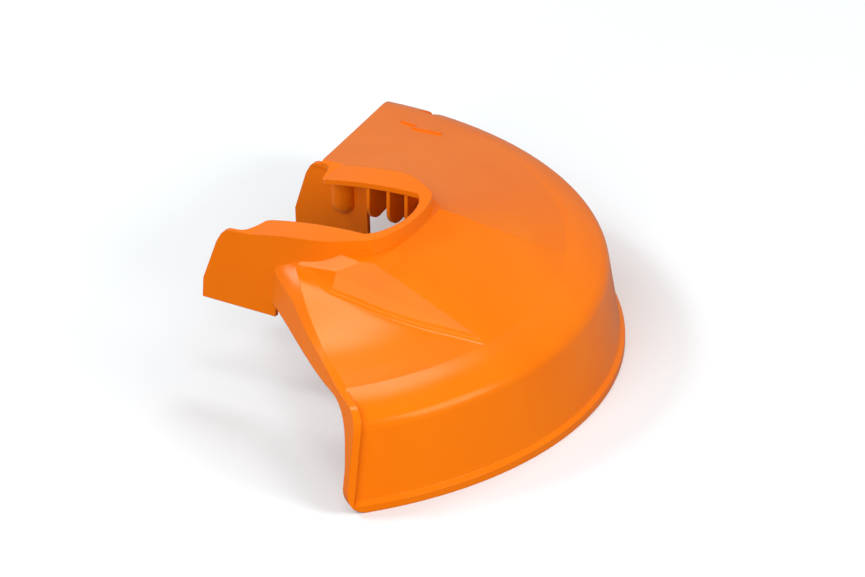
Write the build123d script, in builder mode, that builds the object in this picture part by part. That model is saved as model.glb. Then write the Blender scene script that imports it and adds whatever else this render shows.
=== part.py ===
"""Cutting-line guard of a light cordless grass trimmer, moulded in one piece.

Millimetres. Z points up, the rim rests on Z = 0, and the Z axis is the axis of
the cutting head. +X points to the middle of the closed nose, the open wings end
on the -Y side (near wing) and on the +Y side (far wing).
"""
import math
import os

from build123d import *

# rim and skirt
rim_radius = 145.0
rim_height = 2.9
ledge_rise = 1.5
skirt_radius = 144.0
skirt_draft = 8.9
wall = 2.5
corner_z = 33.7
corner_round = 7.0

# roof
shoulder_radius = 123.0
shoulder_z = 41.0
shoulder_bulge = 0.7
crown_x = 77.5
crown_z = 65.0
crown_half = 34.6
crown_back = 8.0
crown_far = (75.5, 23.0)
crease_near = -10.0
crease_far = 26.5
panel_sink = 0.8

# recess of the near wing, radius and height of its dished profile
dish = [(38.0, 60.6), (54.0, 58.6), (64.0, 57.0), (73.0, 54.4), (82.0, 51.1), (92.0, 47.6), (104.0, 44.5), (114.0, 42.7),
        (123.0, 41.0), (127.0, 40.4)]
spear_top = (77.0, -27.0, 64.0)
spear_foot = (66.6, -33.0, 58.7)
spear_tip = (119.0, -20.5, 42.4)
spear_slope = 58.0
ledge_start = (46.8, -33.0, 58.9)
ledge_end = (66.6, -33.0, 61.2)
ramp_top = (75.2, -26.3, 67.2)
valley_round = 4.0

# ends of the two wings
near_angle = -38.0
near_offset = -11.83
far_corner = (-16.4, 136.6)
far_root = (12.9, 29.5)
end_lean = 8.9
frame_width = 3.0
frame_proud = 2.4
frame_brow = 38.2
frame_round = 9.0
# rounded edge of the near roof: distance along the end, setback, drop and bulge
shell_back = 36.4
near_brow = [(42.0, 7.2, 11.0, 2.4), (54.0, 6.2, 11.0, 2.2), (62.0, 4.6, 9.0, 1.5), (70.0, 2.9, 6.0, 0.6),
             (80.0, 1.9, 4.5, 0.15), (92.0, 1.9, 2.6, 0.1), (105.0, 1.9, 1.3, 0.05), (118.0, 2.1, 0.8, 0.02),
             (126.0, 1.6, 0.5, 0.02), (132.0, 0.5, 0.1, 0.01)]
foot_round = 8.0
frame_lip = [(46, 41.5), (60, 41.1), (78, 39.0), (95, 37.2), (112, 36.7), (121, 36.6), (131, 31.7),
             (136.4, 22.7), (140.3, 12.5), (142.6, 0)]

# fork that slides over the shaft housing
arm_front = 5.0
arm_back = 36.8
arm_bottom = 34.4
arm_wall = 1.9
fork_half = 32.1
fork_shift = 1.2
fork_top = 70.5
fork_draft = 3.2
nose_x = 76.3
nose_corner = (71.8, 20.8)
flange = 2.1
slot_half = 18.9
slot_front = 26.5
slot_end = 73.2
slot_corner = (69.6, 15.4)

# ribs and bosses under the flange
fin_positions = (44.7, 53.5, 61.3)
fin_thickness = 1.4
fin_bottom = 52.0
boss_x = 26.8
boss_radius = 4.5
boss_bottom = 46.5

# pocket in the shoulder and turning arrow on the far wing
pocket_angle = 88.2
pocket_width = 6.0
pocket_start = 128.4
pocket_bottom = 30.5
pocket_depth = 1.7
arrow_radius = 109.5
arrow_tail = 86.6
arrow_neck = 82.2
arrow_tip = 77.0
arrow_shaft = 4.8
arrow_head = 12.0
arrow_height = 0.6

reach = 400.0
lean = math.tan(math.radians(end_lean))
draft_rate = math.tan(math.radians(skirt_draft))
corner_radius = skirt_radius - draft_rate * corner_z


def unit(angle):
    return math.cos(math.radians(angle)), math.sin(math.radians(angle))


def half_space(point, normal):
    """A block that fills the side of a plane its normal points to."""
    side = Plane(origin=point, z_dir=normal)
    with BuildPart(side) as block:
        Box(reach * 2, reach * 2, reach, align=(Align.CENTER, Align.CENTER, Align.MIN))
    return block.part


def profile_plane():
    """Upright plane through the head axis whose seam falls in the open side."""
    return Plane(origin=(0, 0, 0), x_dir=(-1, 0, 0), z_dir=(0, 1, 0))


def roof(inset, sink=0.0):
    """Ruled roof between the round shoulder and the outline at the foot of the collar."""
    drop = inset * 1.1
    nose = crown_x - sink
    near = (spear_top[0] - sink, spear_top[1])
    far = (crown_far[0] - sink, crown_far[1])
    bottom = shoulder_z - drop
    top = crown_z - drop
    turns = (crease_near, crease_far, 115, 230, 360 + crease_near)
    level = Plane.XY.offset(bottom)
    low = [Edge.make_circle(shoulder_radius, level, start, end) for start, end in zip(turns, turns[1:])]
    with BuildLine(Plane.XY.offset(top)) as high:
        ThreePointArc(near, (nose, (near[1] + far[1]) / 2), far)
        Spline(far, (64, 31.0), (48, crown_half), (crown_back, crown_half))
        Line((crown_back, crown_half), (crown_back, -crown_half))
        Spline((crown_back, -crown_half), (50, -crown_half), near)
    sides = [Face.make_surface_from_curves(a, b) for a, b in zip(low, high.edges())]
    caps = [Face(Wire(low)), Face(Wire(high.edges()))]
    return Solid(Shell(sides + caps))


def dome(inset, sink=0.0):
    """Skirt, shoulder and slanted roof, inset by a wall thickness."""
    side = inset / math.cos(math.radians(skirt_draft))
    drop = inset * 1.1
    edge_slope = 0.62
    height = corner_z - (drop * 1.1 - side * edge_slope) / (1 - draft_rate * edge_slope)
    edge = skirt_radius - side - draft_rate * height
    middle = ((shoulder_radius + edge) / 2 + shoulder_bulge * 0.4, (shoulder_z - drop + height) / 2 + shoulder_bulge)
    foot = skirt_radius - draft_rate * (rim_height + ledge_rise)
    with BuildPart() as body:
        with BuildSketch(profile_plane()):
            with BuildLine():
                if inset > 0:
                    start = (skirt_radius - side, 0)
                    Line(start, (edge, height))
                else:
                    start = (rim_radius, 0)
                    Polyline(start, (rim_radius, rim_height), (foot, rim_height + ledge_rise), (edge, height))
                ThreePointArc((edge, height), middle, (shoulder_radius, shoulder_z - drop))
                Polyline((shoulder_radius, shoulder_z - drop), (0, shoulder_z - drop), (0, 0), start)
            outline = make_face()
            fillet(outline.vertices().sort_by_distance((edge, height))[0], max(corner_round - inset, 1.0))
        revolve(axis=Axis.Z)
    return body.part + roof(inset, sink)


def recess(inset):
    """Everything above the dished near wing, moved inwards by a wall thickness."""
    rows = [(r, z - inset * 1.06) for r, z in dish]
    with BuildPart() as bowl:
        with BuildSketch(Plane.XZ):
            with BuildLine():
                Spline(rows)
                Polyline(rows[-1], (rows[-1][0], 90), (rows[0][0], 90), rows[0])
            make_face()
        revolve(axis=Axis.Z)
    foot = Vector(*spear_foot)
    tip = Vector(*spear_tip)
    top = Vector(*spear_top)
    start = Vector(*ledge_start)
    end = Vector(*ledge_end)
    ramp = Vector(*ramp_top)
    facet = upright((foot - top).cross(tip - top))
    ledge_top = upright((end - start).cross(ramp - start))
    ledge_side = sloping(end - start)
    spear_side = sloping(tip - foot)
    beside_arm = flank(bowl.part, start, ledge_side, inset)
    beside_spear = flank(bowl.part, foot, spear_side, inset)
    beside_spear = beside_spear & half_space(top - facet * inset, facet)
    above_ledge = half_space(start - ledge_top * inset, ledge_top) & half_space(start, (0, 1, 0))
    return beside_arm + beside_spear + above_ledge


def upright(normal):
    """Unit vector along a normal, turned so that it points up."""
    normal = normal.normalized()
    return normal if normal.Z > 0 else normal * -1


def sloping(along):
    """Outward normal of the flank that falls from a line at the flank's slope."""
    along = along.normalized()
    outward = along.cross(Vector(0, 0, 1)).normalized()
    up = outward.cross(along).normalized()
    slope = math.radians(spear_slope)
    return outward * math.sin(slope) + up * math.cos(slope)


def flank(bowl, point, normal, inset):
    """The part of the bowl outside a flank, with its foot rounded so that it leaves a hollow fillet."""
    cut = bowl & half_space(point - normal * inset, normal)
    feet = [edge for edge in cut.edges().filter_by(GeomType.BSPLINE)
            if abs((edge.position_at(0.5) - point + normal * inset).dot(normal)) < 0.01]
    return cut.fillet(valley_round + inset, feet)


def panel():
    """Low step that sets the flat nose panel off from the far wing."""
    along = unit(crease_far)
    with BuildPart() as body:
        with BuildSketch():
            with BuildLine():
                Polyline((60, 10), crown_far, (along[0] * shoulder_radius, along[1] * shoulder_radius), (160, 95), (170, -27), spear_tip[:2],
                         spear_top[:2], (60, -29), (60, 10))
            make_face()
        extrude(amount=90)
    return body.part - dome(0, panel_sink)


def end_plane(angle_or_points, offset=0.0):
    """Point and inward normal of the leaning plane that ends a wing."""
    if angle_or_points == "near":
        along = unit(near_angle)
        normal = Vector(-along[1], along[0], -lean)
        point = Vector(-along[1], along[0], 0) * near_offset
    else:
        run = Vector(far_root[0] - far_corner[0], far_root[1] - far_corner[1], 0).normalized()
        normal = Vector(-run.Y, run.X, -lean)
        point = Vector(far_corner[0], far_corner[1], corner_z)
    return point + normal * (offset / normal.length), normal


def beyond(which, offset=0.0):
    """Everything outside the end of one wing, on that wing's side only."""
    point, normal = end_plane(which, offset)
    sideways = Vector(0, -1 if which == "near" else 1, 0)
    return half_space(point, -normal) & half_space((0, 0, 0), sideways)


def turned(rows):
    """Solid of revolution about the head axis from radius and height pairs."""
    with BuildPart() as body:
        with BuildSketch(Plane.XZ):
            with BuildLine():
                Polyline(*rows, close=True)
            make_face()
        revolve(axis=Axis.Z)
    return body.part


def fork_outline(inset):
    """Plan of the fork and of the collar that closes round the shaft."""
    side = fork_half - inset
    nose = nose_x - inset
    bend = (nose_corner[0] - inset * 0.9, nose_corner[1] - inset * 0.6)
    turn = (bend[0] - 2.5, bend[1] + 2.6)
    with BuildSketch() as plan:
        with BuildLine():
            Line((-20, -side), (48, -side))
            Spline((48, -side), (turn[0], -turn[1]), tangents=[(1, 0), (1, 0.62)])
            Spline((turn[0], -turn[1]), (bend[0], -bend[1]), tangents=[(1, 0.62), (0.4, 1)])
            ThreePointArc((bend[0], -bend[1]), (nose, 0), bend)
            Spline(bend, turn, tangents=[(-0.4, 1), (-1, 0.62)])
            Spline(turn, (48, side), tangents=[(-1, 0.62), (-1, 0)])
            Polyline((48, side), (-20, side), (-20, -side))
        make_face()
    return plan.sketch.moved(Location((0, fork_shift, 0)))


def fork_column(inset):
    """Fork plan drawn down from the top with the draft of its walls."""
    spread = (fork_top - 20) * math.tan(math.radians(fork_draft))
    top = fork_outline(inset).moved(Location((0, 0, fork_top)))
    base = fork_outline(inset - spread).moved(Location((0, 0, 20)))
    return loft([base.face(), top.face()], ruled=True)


def block(x_from, x_to, half_width, z_from, z_to):
    """Plain block between two X and two Z positions, centred on Y = 0."""
    with BuildPart() as body:
        with Locations(((x_from + x_to) / 2, 0, (z_from + z_to) / 2)):
            Box(x_to - x_from, half_width * 2, z_to - z_from)
    return body.part


def side_view(front, lowered=0.0):
    """Everything under the sloping front and top of the fork, seen from the side."""
    with BuildPart() as slab:
        with BuildSketch(Plane.XZ):
            with BuildLine():
                Polyline((front, -60), (front, 42), (front + 5.3, 58.5), (front + 8.3, 64.0), (25.0, 65.0))
                ThreePointArc((25.0, 65.0), (48.0, 69.15), (78.0, fork_top))
                Polyline((78.0, fork_top), (90, fork_top), (90, -60), (front, -60))
            outline = make_face()
            fillet(outline.vertices().sort_by_distance((front + 8.3, 64.0))[0], 5)
            fillet(outline.vertices().sort_by_distance((25.0, 65.0))[0], 18)
        extrude(amount=60, both=True)
    return slab.part.moved(Location((0, 0, -lowered)))


def near_frame():
    """Thick lip that stiffens the end of the near wing and stands proud of its skirt."""
    proud = skirt_radius + frame_proud
    brow = (proud - draft_rate * frame_brow, frame_brow)
    upper = [(r, z - 0.8) for r, z in dish if 50 <= r < 110]
    with BuildPart() as body:
        with BuildSketch(Plane.XZ):
            with BuildLine():
                Spline(frame_lip)
                Polyline(frame_lip[-1], (proud, 0), brow, (shoulder_radius - 3, shoulder_z + 0.2),
                         *reversed(upper), (46, 58), frame_lip[0])
            outline = make_face()
            fillet(outline.vertices().sort_by_distance(brow)[0], frame_round)
        revolve(axis=Axis.Z)
    point, normal = end_plane("near")
    inner, _ = end_plane("near", frame_width)
    slab = half_space(point, normal) & half_space(inner, -normal) & half_space((0, 0, 0), (0, -1, 0))
    return body.part & slab


def foot_corner():
    """Piece taken off the lower corner of the near end to round it."""
    along = unit(near_angle)
    place = Plane(origin=(0, 0, 0), x_dir=(-along[1], along[0], 0), z_dir=(along[0], along[1], 0))
    reach_in = foot_round / math.tan(math.radians((90 - end_lean) / 2))
    middle = (near_offset + reach_in, foot_round)
    tilt = math.radians(end_lean)
    upper = (near_offset + reach_in * math.sin(tilt), reach_in * math.cos(tilt))
    half = math.radians(180 + (90 - end_lean) / 2)
    bulge = (middle[0] + foot_round * math.cos(half), middle[1] + foot_round * math.sin(half))
    with BuildPart() as body:
        with BuildSketch(place.offset(125)):
            with BuildLine():
                ThreePointArc(upper, bulge, (middle[0], 0))
                Polyline((middle[0], 0), (middle[0], -5), (near_offset - 5, -5), (near_offset - 5, upper[1]), upper)
            make_face()
        extrude(amount=30)
    return body.part


def roof_height(radius):
    """Height of the dished roof or of the end frame's shoulder at a radius."""
    rows = [row for row in dish if row[0] < 110]
    rows += [(shoulder_radius - 3, shoulder_z + 0.2), (skirt_radius + frame_proud - draft_rate * frame_brow, frame_brow)]
    for low, high in zip(rows, rows[1:]):
        if radius <= high[0]:
            break
    return low[1] + (high[1] - low[1]) * (radius - low[0]) / (high[0] - low[0])


def brow(inset):
    """What is taken off the edge between the near roof and its end face, to round it."""
    along = unit(near_angle)
    sections = []
    for distance, setback, drop, bulge in near_brow:
        level = roof_height(distance)
        place = Plane(origin=(along[0] * distance, along[1] * distance, 0), x_dir=(-along[1], along[0], 0),
                      z_dir=(along[0], along[1], 0))
        start = Vector(near_offset + lean * level + setback, level)
        end = Vector(near_offset + lean * (level - drop), level - drop)
        run = (end - start).normalized()
        out = Vector(run.Y, -run.X) * (-1 if run.Y > 0 else 1)
        out = out if out.X < 0 else out * -1
        start = start - run * 2 - out * inset
        end = end + run * 3 - out * inset
        middle = (start + end) / 2 + out * bulge
        with BuildSketch(place) as section:
            with BuildLine():
                ThreePointArc((start.X, start.Y), (middle.X, middle.Y), (end.X, end.Y))
                Polyline((end.X, end.Y), (near_offset - 14, level + 8), (start.X, start.Y))
            make_face()
        sections.append(section.sketch.face())
    return loft(sections)


def slot():
    """Opening between the flanges that lets the shaft housing through."""
    inside = fork_half - arm_wall + 0.2
    half = slot_half
    with BuildPart() as body:
        with BuildSketch(Plane.XY.offset(50)):
            with BuildLine():
                Line((-20, -inside), (18, -inside))
                Spline((18, -inside), (22.8, -inside + 4.6), (23.6, -half - 4), (slot_front, -half), tangents=[(1, 0), (1, 0)])
                Polyline((slot_front, -half), (slot_corner[0] - 3, -half), (slot_corner[0], -slot_corner[1]))
                ThreePointArc((slot_corner[0], -slot_corner[1]), (slot_end, 0), slot_corner)
                Polyline(slot_corner, (slot_corner[0] - 3, half), (slot_front, half))
                Spline((slot_front, half), (23.6, half + 4), (22.8, inside - 4.6), (18, inside), tangents=[(-1, 0), (-1, 0)])
                Polyline((18, inside), (-20, inside), (-20, -inside))
            make_face()
        extrude(amount=40)
    return body.part.moved(Location((0, fork_shift, 0)))


def fin(x, side):
    """Rounded rib that hangs from the flange and steadies the collar."""
    near_edge = slot_half + 0.2
    with BuildPart() as body:
        with BuildSketch(Plane.YZ.offset(x - fin_thickness / 2)):
            with BuildLine():
                Polyline((side * near_edge, fork_top - flange / 2), (side * near_edge, fin_bottom + 7))
                RadiusArc((side * near_edge, fin_bottom + 7), (side * (near_edge + 7), fin_bottom), -side * 7)
                Polyline((side * (near_edge + 7), fin_bottom), (side * 36, fin_bottom + 1.5),
                         (side * 36, fork_top - flange / 2), (side * near_edge, fork_top - flange / 2))
            make_face()
        extrude(amount=fin_thickness)
    return body.part.moved(Location((0, fork_shift, 0)))


def boss(side):
    """Half-round boss on the inside of a fork arm."""
    y = side * (fork_half - arm_wall + 0.5)
    with BuildPart() as body:
        with Locations((boss_x, y, boss_bottom + boss_radius)):
            Cylinder(boss_radius, 20, align=(Align.CENTER, Align.CENTER, Align.MIN))
            Sphere(boss_radius)
    return body.part.moved(Location((0, fork_shift, 0)))


def pocket():
    """Small pocket in the shoulder of the far wing."""
    place = Plane.XY.rotated((0, 0, pocket_angle))
    with BuildPart(place) as body:
        with Locations((pocket_start, 0, pocket_bottom)):
            Box(30, pocket_width, 20, align=(Align.MIN, Align.CENTER, Align.MIN))
    return body.part - dome(pocket_depth)


def arrow():
    """Raised arrow that shows which way the head turns."""
    def spot(radius, angle):
        along = unit(angle)
        return along[0] * radius, along[1] * radius
    half_shaft = arrow_shaft / 2
    half_head = arrow_head / 2
    with BuildPart() as body:
        with BuildSketch():
            with BuildLine():
                Polyline(spot(arrow_radius - half_shaft, arrow_tail), spot(arrow_radius - half_shaft, arrow_neck),
                         spot(arrow_radius - half_head, arrow_neck), spot(arrow_radius, arrow_tip),
                         spot(arrow_radius + half_head, arrow_neck), spot(arrow_radius + half_shaft, arrow_neck),
                         spot(arrow_radius + half_shaft, arrow_tail), close=True)
            make_face()
        extrude(amount=90)
    return (body.part & dome(-arrow_height)) - dome(wall / 2)


hollow = dome(wall) - recess(wall) - brow(wall)
shell = (dome(0) - panel() - recess(0)) - hollow - beyond("near") - beyond("far")
shell = (shell + near_frame() - brow(0) - foot_corner()) - pocket() + arrow()

shell = shell - (half_space((shell_back, 0, 0), (-1, 0, 0)) & half_space((0, -arm_front, 0), (0, -1, 0)))

column = fork_column(0) & side_view(arm_front)
arms = column & block(0, arm_back, 60, arm_bottom, 80)
collar = (column & block(arm_back - 1, 90, 60, 48, 80)) - hollow
shell = shell + arms + collar - (fork_column(arm_wall) & side_view(arm_front - 20, flange)) - slot()

inside = fork_column(0) & side_view(arm_front, flange / 2)
ribs = [fin(x, side) for x in fin_positions for side in (1, -1)] + [boss(side) for side in (1, -1)]
for rib in ribs:
    shell = shell + (rib & inside)

with BuildPart() as guard:
    add(shell)
guard.part.label = "guard"
print(len(guard.part.solids()), guard.part.volume)
os.makedirs("parts", exist_ok=True)
export_step(guard.part, "parts/guard.step")
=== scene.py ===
import math
import bpy
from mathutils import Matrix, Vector


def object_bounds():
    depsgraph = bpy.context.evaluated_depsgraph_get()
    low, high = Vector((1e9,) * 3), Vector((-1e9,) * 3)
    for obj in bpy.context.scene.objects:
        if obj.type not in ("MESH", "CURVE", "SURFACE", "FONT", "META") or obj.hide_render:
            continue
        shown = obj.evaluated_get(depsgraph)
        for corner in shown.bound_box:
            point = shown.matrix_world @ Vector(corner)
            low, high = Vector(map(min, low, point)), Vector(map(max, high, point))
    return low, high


# Looks of a grass trimmer's cutting-line guard, one orange moulding on a white studio floor.
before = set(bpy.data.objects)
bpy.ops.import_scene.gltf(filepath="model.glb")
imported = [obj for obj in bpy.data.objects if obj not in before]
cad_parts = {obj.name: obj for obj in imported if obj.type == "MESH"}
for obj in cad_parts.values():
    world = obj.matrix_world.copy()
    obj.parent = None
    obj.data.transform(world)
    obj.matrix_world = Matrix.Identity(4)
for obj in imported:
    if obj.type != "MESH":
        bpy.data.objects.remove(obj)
cadLow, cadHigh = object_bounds()
scene = bpy.context.scene
print("frame loaded:", ", ".join(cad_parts))


def toLinear(hexColour):
    # sRGB hex to the linear values that the shader sockets take
    values = [int(hexColour[i:i + 2], 16) / 255 for i in (1, 3, 5)]
    return [v / 12.92 if v <= 0.04045 else ((v + 0.055) / 1.055) ** 2.4 for v in values] + [1.0]


def addNode(tree, kind, settings=None, inputs=None, links=None):
    # settings are the node's own options, inputs its plain values, links its sockets fed by other nodes
    node = tree.nodes.new("ShaderNode" + kind)
    for name, value in (settings or {}).items():
        setattr(node, name, value)
    for name, value in (inputs or {}).items():
        node.inputs[name].default_value = value
    for name, source in (links or {}).items():
        tree.links.new(source, node.inputs[name])
    return node


# Guards like this are injection moulded in polypropylene, coloured right through. The steel mould
# was spark eroded on the broad faces, which gives the eye a satin sheen with a very fine, even
# grain. Where the melt ran thick the skin sinks a few hundredths of a millimetre, so long
# reflections waver a little.
mouldedPlastic = {
    "colour": "#F57806",
    "paleColour": "#F67C0A",      # resin-rich streaks, where the pigment is spread a little thinner
    "deepColour": "#F37403",
    "streakSize": 55,             # mm, length of the flow streaks
    "streakDetail": 3.0,
    "streakRoughness": 0.45,
    "streakBend": 0.8,
    "deepStop": 0.30,             # where the streaks turn deep and pale
    "middleStop": 0.50,
    "paleStop": 0.72,
    "ior": 1.49,                  # polypropylene
    "shine": 0.28,                # share of the reflection, low because the eroded skin scatters it
    "shineTint": "#FFD8A4",       # the clear skin over the pigment warms what it mirrors
    "satin": 0.21,                # roughness of the broad faces
    "satinChange": 0.03,
    "patchSize": 16.5,            # mm, patches that are duller or brighter than the rest
    "patchDetail": 4.0,
    "patchRoughness": 0.6,
    "patchLow": 0.3,              # the noise lies mostly between these two
    "patchHigh": 0.7,
    "grainSize": 0.7,             # mm, real grain is near 0.1 mm and would not show at this size
    "grainDepth": 0.006,          # mm
    "grainDetail": 2.0,
    "grainRoughness": 0.7,
    "grainStrength": 0.6,
    "sinkSize": 38,               # mm, from one hump of the skin to the next
    "sinkDepth": 0.04,            # mm
    "edgeRound": 0.4,             # mm, radius that the mould leaves on every edge
    "edgeSamples": 6,
}


def makeMouldedPlastic(look):
    material = bpy.data.materials.new("mouldedPolypropylene")
    material.use_nodes = True
    tree = material.node_tree
    tree.nodes.clear()
    metre = 1000.0                # mm
    place = addNode(tree, "TexCoord").outputs["Object"]

    # colour: long faint flow streaks from the gate, about one per cent either way
    streaks = addNode(tree, "TexNoise",
                      inputs={"Scale": metre / look["streakSize"], "Detail": look["streakDetail"],
                              "Roughness": look["streakRoughness"], "Distortion": look["streakBend"]},
                      links={"Vector": place})
    colour = addNode(tree, "ValToRGB", links={"Fac": streaks.outputs["Fac"]})
    stops = colour.color_ramp.elements
    stops[0].position, stops[0].color = look["deepStop"], toLinear(look["deepColour"])
    stops[1].position, stops[1].color = look["paleStop"], toLinear(look["paleColour"])
    middle = stops.new(look["middleStop"])
    middle.color = toLinear(look["colour"])

    # sheen: the eroded grain is a little duller in some places than in others
    patches = addNode(tree, "TexNoise",
                      inputs={"Scale": metre / look["patchSize"], "Detail": look["patchDetail"],
                              "Roughness": look["patchRoughness"]},
                      links={"Vector": place})
    sheen = addNode(tree, "MapRange",
                    inputs={"From Min": look["patchLow"], "From Max": look["patchHigh"],
                            "To Min": look["satin"] - look["satinChange"],
                            "To Max": look["satin"] + look["satinChange"]},
                    links={"Value": patches.outputs["Fac"]})

    # relief: rounded edges first, then the slow sink of the skin, then the eroded grain
    edges = addNode(tree, "Bevel", {"samples": look["edgeSamples"]},
                    {"Radius": look["edgeRound"] / metre})
    sink = addNode(tree, "TexNoise", inputs={"Scale": metre / look["sinkSize"], "Detail": 1.0},
                   links={"Vector": place})
    skin = addNode(tree, "Bump", inputs={"Strength": 1.0, "Distance": look["sinkDepth"] / metre},
                   links={"Height": sink.outputs["Fac"], "Normal": edges.outputs["Normal"]})
    grain = addNode(tree, "TexNoise",
                    inputs={"Scale": metre / look["grainSize"], "Detail": look["grainDetail"],
                            "Roughness": look["grainRoughness"]},
                    links={"Vector": place})
    relief = addNode(tree, "Bump",
                     inputs={"Strength": look["grainStrength"],
                             "Distance": look["grainDepth"] / metre},
                     links={"Height": grain.outputs["Fac"], "Normal": skin.outputs["Normal"]})

    shader = addNode(tree, "BsdfPrincipled",
                     inputs={"IOR": look["ior"], "Metallic": 0.0, "Specular IOR Level": look["shine"],
                             "Specular Tint": toLinear(look["shineTint"])},
                     links={"Base Color": colour.outputs["Color"], "Roughness": sheen.outputs["Result"],
                            "Normal": relief.outputs["Normal"]})
    addNode(tree, "OutputMaterial", links={"Surface": shader.outputs["BSDF"]})
    return material


guardPlastic = makeMouldedPlastic(mouldedPlastic)
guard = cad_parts["guard"]
for place in guard.material_slots:
    place.material = guardPlastic
print("guard finished in", guardPlastic.name)

# White paper sweep under the guard. It is plain, and keeps the soft shadow of the studio.
studioFloor = {
    "colour": "#8C8C8C",          # what the guard sees, darker so that its walls keep their colour
    "shownColour": "#F2F6F8",     # what the camera sees, a little cold against the orange light
    "size": 4.0,                  # metres
    "gap": 0.00005,               # metres below the rim, so that the two faces don't meet
}


def makeFloor(look):
    mesh = bpy.data.meshes.new("studioFloor")
    half = look["size"] / 2
    level = cadLow.z - look["gap"]
    corners = [(-half, -half, level), (half, -half, level), (half, half, level), (-half, half, level)]
    mesh.from_pydata(corners, [], [(0, 1, 2, 3)])
    floor = bpy.data.objects.new("studioFloor", mesh)
    scene.collection.objects.link(floor)
    material = bpy.data.materials.new("mattWhitePaper")
    material.use_nodes = True
    tree = material.node_tree
    tree.nodes.clear()
    rays = addNode(tree, "LightPath")
    seen = addNode(tree, "BsdfDiffuse", inputs={"Color": toLinear(look["shownColour"])})
    felt = addNode(tree, "BsdfDiffuse", inputs={"Color": toLinear(look["colour"])})
    both = addNode(tree, "MixShader", links={"Fac": rays.outputs["Is Camera Ray"]})
    tree.links.new(felt.outputs["BSDF"], both.inputs[1])
    tree.links.new(seen.outputs["BSDF"], both.inputs[2])
    addNode(tree, "OutputMaterial", links={"Surface": both.outputs["Shader"]})
    mesh.materials.append(material)


makeFloor(studioFloor)
print("floor laid")

# Six soft boxes and a white room. The small ones draw the highlights: the left one on the ledge and
# the edges of the spear, the back one on the near roof, the top one along the shoulder. The large
# ones fill the walls. Angles in degrees as the camera's, sizes in metres, power in watts.
studioLight = {
    "room": 0.30,                 # what the white room adds from every side
    "shownRoom": 1.0,             # what the camera sees of it
    "boxes": [
        {"name": "leftBox", "azimuth": -64, "elevation": 46,
         "distance": 1.2, "size": 0.26, "power": 3.0},
        {"name": "endBox", "azimuth": -100, "elevation": 26,
         "distance": 1.3, "size": 0.5, "power": 4.4},
        {"name": "backBox", "azimuth": 190, "elevation": 62,
         "distance": 1.3, "size": 0.36, "power": 2.8},
        {"name": "topBox", "azimuth": 31, "elevation": 72,
         "distance": 1.3, "size": 0.36, "power": 1.6},
        {"name": "frontBox", "azimuth": 10, "elevation": 26,
         "distance": 1.5, "size": 1.0, "power": 12.8},
        {"name": "rightBox", "azimuth": 96, "elevation": 26,
         "distance": 1.4, "size": 0.7, "power": 10.0},
    ],
}


def direction(azimuth, elevation):
    a, e = math.radians(azimuth), math.radians(elevation)
    return Vector((math.sin(a) * math.cos(e), -math.cos(a) * math.cos(e), math.sin(e)))


def lightStudio(look):
    middle = (cadLow + cadHigh) / 2
    for box in look["boxes"]:
        lamp = bpy.data.lights.new(box["name"], "AREA")
        lamp.shape = "SQUARE"
        lamp.size = box["size"]
        lamp.energy = box["power"]
        holder = bpy.data.objects.new(box["name"], lamp)
        scene.collection.objects.link(holder)
        holder.location = middle + direction(box["azimuth"], box["elevation"]) * box["distance"]
        holder.rotation_euler = (middle - holder.location).to_track_quat("-Z", "Y").to_euler()
        holder.visible_camera = False
    world = bpy.data.worlds.new("whiteRoom")
    scene.world = world
    world.use_nodes = True
    tree = world.node_tree
    tree.nodes.clear()
    rays = addNode(tree, "LightPath")
    room = addNode(tree, "Background", inputs={"Color": (1, 1, 1, 1), "Strength": look["room"]})
    shown = addNode(tree, "Background", inputs={"Color": (1, 1, 1, 1), "Strength": look["shownRoom"]})
    direct = addNode(tree, "Math", {"operation": "MAXIMUM"})
    tree.links.new(rays.outputs["Is Camera Ray"], direct.inputs[0])
    tree.links.new(rays.outputs["Is Transmission Ray"], direct.inputs[1])
    both = addNode(tree, "MixShader", links={"Fac": direct.outputs["Value"]})
    tree.links.new(room.outputs["Background"], both.inputs[1])
    tree.links.new(shown.outputs["Background"], both.inputs[2])
    addNode(tree, "OutputWorld", links={"Surface": both.outputs["Shader"]})


lightStudio(studioLight)
print("studio lit with", len(studioLight["boxes"]), "soft boxes")

# The photograph was taken with a very long lens from above the near wing.
photoCamera = {
    "azimuth": 31.26,
    "elevation": 28.03,
    "lens": 1000,                 # mm
    "sensor": 36.0,               # mm
    "near": 0.1,                  # metres, nearest thing that it shows
    "frameWidth": 0.3253,         # metres across the picture at the guard
    "aim": (0.0417, 0.0717, 0.0),
}


def placeCamera(look):
    lens = bpy.data.cameras.new("photoCamera")
    lens.lens = look["lens"]
    lens.sensor_width = look["sensor"]
    camera = bpy.data.objects.new("photoCamera", lens)
    scene.collection.objects.link(camera)
    distance = look["frameWidth"] * look["lens"] / look["sensor"]
    aim = Vector(look["aim"])
    camera.location = aim + direction(look["azimuth"], look["elevation"]) * distance
    camera.rotation_euler = (aim - camera.location).to_track_quat("-Z", "Y").to_euler()
    lens.clip_start, lens.clip_end = look["near"], distance * 2
    scene.camera = camera


placeCamera(photoCamera)
print("camera placed")
scene.view_settings.view_transform = "Standard"
